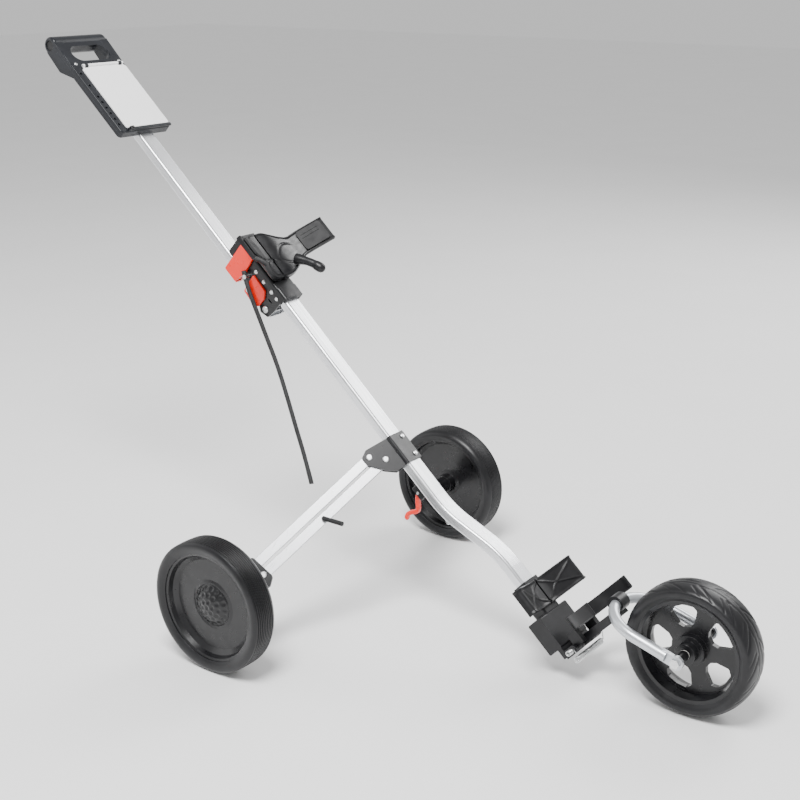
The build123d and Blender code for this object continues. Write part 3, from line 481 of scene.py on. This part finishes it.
def rear_tyre_profile():
    """Tread with fine grooves round it, rounded shoulders and a stepped side wall, as (radius, offset)."""
    inner_side = [
        (94.0, -25.0), (98.0, -27.4), (103.0, -29.0), (104.5, -29.0), (108.5, -27.5), (111.5, -24.0)]
    outer_side = [
        (111.8, 21.4), (109.4, 22.5), (106.6, 23.0), (103.0, 22.6), (98.0, 20.8), (94.0, 19.0)]
    tread = [(113.8, -20.4)]
    for i in range(GROOVES):
        z = (i - (GROOVES - 1) / 2) * GROOVE_PITCH
        crown = REAR_R - TREAD_CROWN * (z / TREAD_HALF) ** 2
        floor = crown - GROOVE_DEPTH
        tread += [
            (crown, z - GROOVE_MOUTH), (floor, z - GROOVE_FLOOR),
            (floor, z + GROOVE_FLOOR), (crown, z + GROOVE_MOUTH)]
    tread += [(113.6, 20.0)]
    return inner_side + tread + outer_side


def wheel_verts(profile, steps, centre, outward, depth=None):
    """A profile turned round a wheel's axle, in row-frame metres."""
    verts = []
    for i in range(steps):
        angle = 2 * math.pi * i / steps
        for radius, across in profile:
            r = radius - (depth(angle, radius, across) if depth else 0.0)
            verts.append(centre + Vector((r * math.cos(angle), outward * across, r * math.sin(angle))) * MM)
    return verts


def rear_tyre(side, outward):
    centre = Vector((-ORIGIN_X, outward * REAR_Y, REAR_R)) * MM
    profile = rear_tyre_profile()
    verts = wheel_verts(profile, REAR_STEPS, centre, outward)
    name = "rear_tyre_" + side
    faces = ring_faces(REAR_STEPS, len(profile))
    mesh_piece(name + "_tread", verts, faces, "rear_wheel_" + side, "eva_tyre", 30.0, (name,))


CAP_R = 37.5
CAP_BASE = 3.2
CAP_RISE = 13.3
CAP_RINGS = 44
CAP_STEPS = 168
CAP_THICK = 3.0
CAP_PLAIN_RIM = 3
CAP_RING_EASE = 0.9
UNDER_RADII = (0.0, 12.0, 24.0, 34.0)
DIMPLE_RINGS = (1, 2, 3)
DIMPLE_R = 4.9
DIMPLE_PITCH = 10.6
DIMPLE_DEPTH = 1.7
DIMPLE_TWIST = 0.04


def dimple_places():
    """Dimple centres on the dome, as points across its base."""
    places = [(0.0, 0.0)]
    for ring in DIMPLE_RINGS:
        for k in range(6 * ring):
            places.append((ring * DIMPLE_PITCH, 2 * math.pi * (k / (6 * ring) + DIMPLE_TWIST * ring)))
    return [(r * math.cos(a), r * math.sin(a)) for r, a in places]


def hub_cap(side, outward):
    """Dimpled dome over the hub."""
    centre = Vector((-ORIGIN_X, outward * REAR_Y, REAR_R)) * MM
    ball = (CAP_R ** 2 + CAP_RISE ** 2) / (2 * CAP_RISE)
    dimples = dimple_places()

    def dome(radius):
        return CAP_BASE + CAP_RISE - ball + math.sqrt(ball ** 2 - radius ** 2)

    def outer(radius, angle):
        x, y = radius * math.cos(angle), radius * math.sin(angle)
        z = dome(radius)
        near = min(math.hypot(x - a, y - b) for a, b in dimples)
        if near < DIMPLE_R and radius < CAP_R - CAP_PLAIN_RIM:
            z -= DIMPLE_DEPTH * (1 - (near / DIMPLE_R) ** 2) ** 1.5
        return x, z, y

    rows = [CAP_R * (k / CAP_RINGS) ** CAP_RING_EASE for k in range(1, CAP_RINGS + 1)]
    verts = []
    for radius in rows:
        for i in range(CAP_STEPS):
            x, z, y = outer(radius, 2 * math.pi * i / CAP_STEPS)
            verts.append(centre + Vector((x, outward * z, y)) * MM)
    faces = []
    for k in range(len(rows) - 1):
        for i in range(CAP_STEPS):
            j = (i + 1) % CAP_STEPS
            a, b = k * CAP_STEPS, (k + 1) * CAP_STEPS
            faces.append((a + i, a + j, b + j, b + i))
    x, z, y = outer(0.0, 0.0)
    middle = len(verts)
    verts.append(centre + Vector((x, outward * z, y)) * MM)
    faces += [(middle, (i + 1) % CAP_STEPS, i) for i in range(CAP_STEPS)]
    # The underside is a plain dome below the dimples, so that the cap is a closed shell.
    shell = [(radius, dome(radius) - CAP_THICK) for radius in UNDER_RADII]
    under = len(verts)
    for radius, z in shell[1:]:
        for i in range(CAP_STEPS):
            angle = 2 * math.pi * i / CAP_STEPS
            spot = Vector((radius * math.cos(angle), outward * max(z, CAP_BASE), radius * math.sin(angle)))
            verts.append(centre + spot * MM)
    bottom = len(verts)
    verts.append(centre + Vector((0.0, outward * shell[0][1], 0.0)) * MM)
    for i in range(CAP_STEPS):
        j = (i + 1) % CAP_STEPS
        faces.append((bottom, under + i, under + j))
        for k in range(2):
            a, b = under + k * CAP_STEPS, under + (k + 1) * CAP_STEPS
            faces.append((a + i, b + i, b + j, a + j))
        rim, edge = under + 2 * CAP_STEPS, (len(rows) - 1) * CAP_STEPS
        faces.append((rim + i, edge + i, edge + j, rim + j))
    name = "hub_cap_" + side
    mesh_piece(name + "_dome", verts, faces, "rear_wheel_" + side, "wheel_plastic", 40.0, (name,))


for side, outward in (("right", -1), ("left", 1)):
    rear_tyre(side, outward)
    hub_cap(side, outward)


FRONT_X = 698.9
FRONT_R = 109.75
FRONT_STEPS = 540
FRONT_ACROSS = 46
FRONT_HALF = 30.4
FRONT_CROWN_R = 96.0
CROWN_POWER = 0.62
TREAD_WAVES = 14
TREAD_DEPTH = 1.2


def front_tyre_profile():
    """Crowned tyre; the outer stretch is divided finely to carry the tread."""
    side = [(86.0, -25.0), (90.0, -28.0), (93.0, -30.0), (95.0, -FRONT_HALF)]
    crown = []
    for k in range(FRONT_ACROSS + 1):
        angle = math.pi * (k / FRONT_ACROSS - 0.5)
        across = FRONT_HALF * math.sin(angle)
        rise = (FRONT_R - FRONT_CROWN_R) * abs(math.cos(angle)) ** CROWN_POWER
        crown.append((FRONT_CROWN_R + rise, across))
    return side + crown + [(r, -z) for r, z in reversed(side)]


def wave_tread(angle, radius, across):
    """Depth of the curved sipes and of the two grooves that wander round the tyre."""
    share = across / FRONT_HALF
    if radius < FRONT_CROWN_R + 0.5:
        return 0.0
    turns = angle / (2 * math.pi)
    fade = 1.0 - smoothstep(0.86, 0.98, abs(share))
    bow = 0.9 * abs(share) ** 1.4
    sipe = (turns * TREAD_WAVES + bow + 0.5 * (share > 0)) % 1.0
    cut = 1.0 - smoothstep(0.035, 0.085, min(sipe, 1.0 - sipe))
    cut *= smoothstep(0.10, 0.2, abs(share))
    half = (turns * TREAD_WAVES + bow * 0.7 + 0.25) % 1.0
    fine = (1.0 - smoothstep(0.02, 0.06, min(half, 1.0 - half))) * smoothstep(0.3, 0.4, abs(share))
    wander = 0.07 * math.sin(angle * TREAD_WAVES)
    line = 1.0 - smoothstep(0.016, 0.05, abs(abs(share) - 0.16 - wander * 0.5))
    return TREAD_DEPTH * fade * max(cut, 0.7 * fine, 0.8 * line)


def front_tyre():
    centre = Vector((FRONT_X - ORIGIN_X, 0.0, FRONT_R)) * MM
    profile = front_tyre_profile()
    verts = wheel_verts(profile, FRONT_STEPS, centre, -1, wave_tread)
    faces = ring_faces(FRONT_STEPS, len(profile))
    mesh_piece("front_tyre_tread", verts, faces, "front_wheel", "eva_tyre", 50.0, ("front_tyre",))


front_tyre()


# ---------------------------------------------------------------- bag cradles

WING_STEPS = 14
WING_ACROSS = 40
RIM_IN = 2.5
RIM_OUT = 5.0
EDGE_FALL = 1.6
EDGE_REACH = 1.4
UNDER_CHAMFER = 1.2


def smooth_line(points, per_span):
    """Points along a Catmull-Rom curve through the given (y, n) points."""
    line = []
    for i in range(len(points) - 1):
        p0, p1, p2, p3 = (points[max(0, min(len(points) - 1, i + k))] for k in (-1, 0, 1, 2))
        for k in range(per_span):
            f = k / per_span
            line.append(tuple(
                0.5 * (2 * b + (c - a) * f + (2 * a - 5 * b + 4 * c - d) * f * f
                       + (3 * b - a - 3 * c + d) * f ** 3)
                for a, b, c, d in zip(p0, p1, p2, p3)))
    line.append(tuple(points[-1]))
    return line


def loft_wing(curve, span, thick, lip, sign, ribs):
    """A wing lofted along a (y, n) curve. span and thick are functions of the share along it.

    ribs also takes the share across it."""
    line = smooth_line(curve, WING_STEPS)
    last = len(line) - 1
    verts = []
    for i, (y, n) in enumerate(line):
        before, after = line[max(i - 1, 0)], line[min(i + 1, last)]
        along = Vector((after[0] - before[0], after[1] - before[1]))
        up = Vector((-along.y, along.x)).normalized()
        share = i / last
        low, high = span(share)
        rows = []
        for k in range(WING_ACROSS + 1):
            f = k / WING_ACROSS
            edge = min(f, 1 - f) * (high - low)
            rise = lip * (1 - smoothstep(RIM_IN, RIM_OUT, edge))
            rise = rise - EDGE_FALL * (1 - smoothstep(0.0, EDGE_REACH, edge)) + ribs(share, f)
            rows.append((low + (high - low) * f, rise))
        for t, rise in rows:
            verts.append(tube_point(t, sign * (y + up.x * rise), n + up.y * rise))
        for t, rise in reversed(rows):
            drop = thick(share) - (UNDER_CHAMFER if t in (low, high) else 0.0)
            verts.append(tube_point(t, sign * (y - up.x * drop), n - up.y * drop))
    return verts, sweep_faces(len(line), 2 * (WING_ACROSS + 1))


def upper_wing(sign):
    """Wing of the upper cradle: broad at the saddle, swept out to a pad carrier with a raised rim."""
    curve = [(2, 351), (22, 355), (40, 367), (56, 382), (82, 398.5), (108, 413)]

    def span(share):
        return -589 + 33 * smoothstep(0.1, 0.5, share), -490 - 17 * smoothstep(0.15, 0.6, share)

    def thick(share):
        return 13 - 5.5 * smoothstep(0.05, 0.5, share)

    def ribs(share, f):
        wave = math.sin(2 * math.pi * (1.6 * share + 0.15))
        fade = 1 - smoothstep(0.4, 0.5, share)
        high_rib = 1.3 * (1 - smoothstep(0.012, 0.035, abs(f - 0.45 - 0.2 * wave))) * fade
        low_rib = 1.1 * (1 - smoothstep(0.012, 0.03, abs(f - 0.72 + 0.12 * wave))) * fade
        return high_rib + low_rib

    return loft_wing(curve, span, thick, 1.6, sign, ribs)


def saddle_web(sign):
    """Side web that carries a wing down to the bracket."""
    curve = [(3, 343), (14, 344), (22, 347)]
    return loft_wing(curve, lambda share: (-588, -492), lambda share: 4.0, 0.0, sign, lambda share, f: 0.0)


FINGER_STEPS = 24
FINGER_END = (0.5, 1.0, 1.35)


def finger_loop():
    """Bent finger with a rounded end, on the left wing."""
    path = []
    for k in range(FINGER_STEPS + 1):
        f = k / FINGER_STEPS
        path.append(tube_point(-508 + 44 * f, 32 + 10 * f, 370 + 24 * f + 3.5 * math.sin(math.pi * f)))
    shares = [k / FINGER_STEPS for k in range(FINGER_STEPS + 1)]
    radii = [MM * (10.0 - 2.4 * smoothstep(0.0, 0.45, f) + 1.4 * smoothstep(0.7, 0.85, f)) for f in shares]
    ahead = (path[-1] - path[-2]).normalized()
    end = radii[-1]
    tip = [path[-1] + ahead * (end * math.sin(a)) for a in FINGER_END]
    return tube_mesh(path + tip, radii + [end * math.cos(a) for a in FINGER_END], 20)


def upper_cradle():
    pieces = [upper_wing(1), upper_wing(-1), saddle_web(1), saddle_web(-1), finger_loop()]
    verts, faces = join_meshes(pieces)
    mesh_piece("cradle_wings_shell", verts, faces, "frame", "black_plastic", 40.0, ("cradle_wings",))


def lower_cradle():
    """Creased wings of the lower cradle, with rolled outer lips."""
    curve = [(2, 380), (20, 381), (34, 386), (56, 396), (76, 407), (84, 404), (88, 396)]

    def thick(share):
        return 5.5 - 2.5 * smoothstep(0.2, 0.8, share)

    def ribs(share, f):
        cross = abs(abs(f - 0.5) * 2 - abs(share - 0.35) * 2.4)
        return 1.6 * (1 - smoothstep(0.03, 0.09, cross)) * (1 - smoothstep(0.55, 0.7, share))

    pieces = [loft_wing(curve, lambda share: (206, 254), thick, 1.2, sign, ribs) for sign in (-1, 1)]
    verts, faces = join_meshes(pieces)
    mesh_piece("lower_wings_shell", verts, faces, "frame", "black_plastic", 40.0, ("lower_wings",))


upper_cradle()
lower_cradle()


# ---------------------------------------------------------------- springs

FOOT_T = 336.0
FOOT_N = 388.0
WIRE_R = 0.75

SPRING_R = 3.9
SPRING_Y = 47.9
SPRING_LONG = 10.2
SPRING_TURNS = 7
SPRING_TURN_STEPS = 18

COIL_T = 352.5
COIL_N = 381.0
COIL_R = 4.6
COIL_HALF = 42.0
COIL_TURNS = 34
COIL_TURN_STEPS = 14


def return_spring():
    """Long wound spring in front of the bracket, with a leg at each end hooked over the cross rod."""
    path = []
    leg_n = FOOT_N + 3.0
    path.append(tube_point(FOOT_T, -COIL_HALF - 3.0, leg_n + 1.2))
    path.append(tube_point(FOOT_T + 6, -COIL_HALF - 2.5, leg_n + 1.0))
    steps = COIL_TURNS * COIL_TURN_STEPS
    for k in range(steps + 1):
        angle = math.pi / 2 - 2 * math.pi * k / COIL_TURN_STEPS
        y = -COIL_HALF + 2 * COIL_HALF * k / steps
        path.append(tube_point(COIL_T + COIL_R * math.cos(angle), y, COIL_N + COIL_R * math.sin(angle)))
    path.append(tube_point(FOOT_T + 6, COIL_HALF + 2.5, leg_n + 1.0))
    path.append(tube_point(FOOT_T, COIL_HALF + 3.0, leg_n + 1.2))
    verts, faces = tube_mesh(path, WIRE_R * MM, 6)
    mesh_piece("return_spring_wire", verts, faces, "frame", "bright_steel", 70.0)


def foot_springs():
    """Wound torsion springs round the ends of the cross rod."""
    coils = []
    steps = SPRING_TURNS * SPRING_TURN_STEPS
    for sign in (-1, 1):
        path = []
        for k in range(steps + 1):
            angle = 2 * math.pi * k / SPRING_TURN_STEPS
            y = sign * (SPRING_Y + SPRING_LONG * k / steps)
            t = FOOT_T + SPRING_R * math.cos(angle)
            n = FOOT_N + SPRING_R * math.sin(angle)
            path.append(tube_point(t, y, n))
        coils.append(tube_mesh(path, WIRE_R * MM, 8))
    verts, faces = join_meshes(coils)
    mesh_piece("foot_springs_wire", verts, faces, "frame", "bright_steel", 60.0, ("foot_springs",))


foot_springs()
return_spring()


# ---------------------------------------------------------------- floor and light

FLOOR_SIZE = 30.0
FLOOR_DROP = 0.0005
WORLD_STRENGTH = 0.7


def pale_floor():
    shader = Shader("floor_paper", (0.93, 0.93, 0.93), 0.85)
    shader.tint(shader.noise(3.0, 3.0), (0.95, 0.95, 0.95), 0.3, 0.7)
    half = FLOOR_SIZE / 2
    data = bpy.data.meshes.new("floor")
    corners = [(-half, -half, 0), (half, -half, 0), (half, half, 0), (-half, half, 0)]
    data.from_pydata(corners, [], [(0, 1, 2, 3)])
    floor = bpy.data.objects.new("floor", data)
    bpy.context.scene.collection.objects.link(floor)
    floor.location.z = -FLOOR_DROP
    floor.data.materials.append(shader.material)


def area_light(name, place, target, size, power):
    data = bpy.data.lights.new(name, "AREA")
    data.shape = "DISK"
    data.size = size
    data.energy = power
    light = bpy.data.objects.new(name, data)
    bpy.context.scene.collection.objects.link(light)
    light.location = place
    aim = Vector(target) - Vector(place)
    light.rotation_euler = aim.to_track_quat("-Z", "Y").to_euler()


pale_floor()
area_light("key", (0.6, -1.6, 3.4), (0.0, 0.0, 0.4), 1.4, 190.0)
area_light("fill", (-3.2, -1.6, 1.8), (0.0, 0.0, 0.4), 3.0, 30.0)
area_light("rim", (0.6, 3.4, 2.6), (0.0, 0.0, 0.5), 2.4, 90.0)
world = bpy.data.worlds.new("studio")
bpy.context.scene.world = world
world.use_nodes = True
background = world.node_tree.nodes["Background"]
background.inputs["Color"].default_value = (1.0, 1.0, 1.0, 1.0)
background.inputs["Strength"].default_value = WORLD_STRENGTH
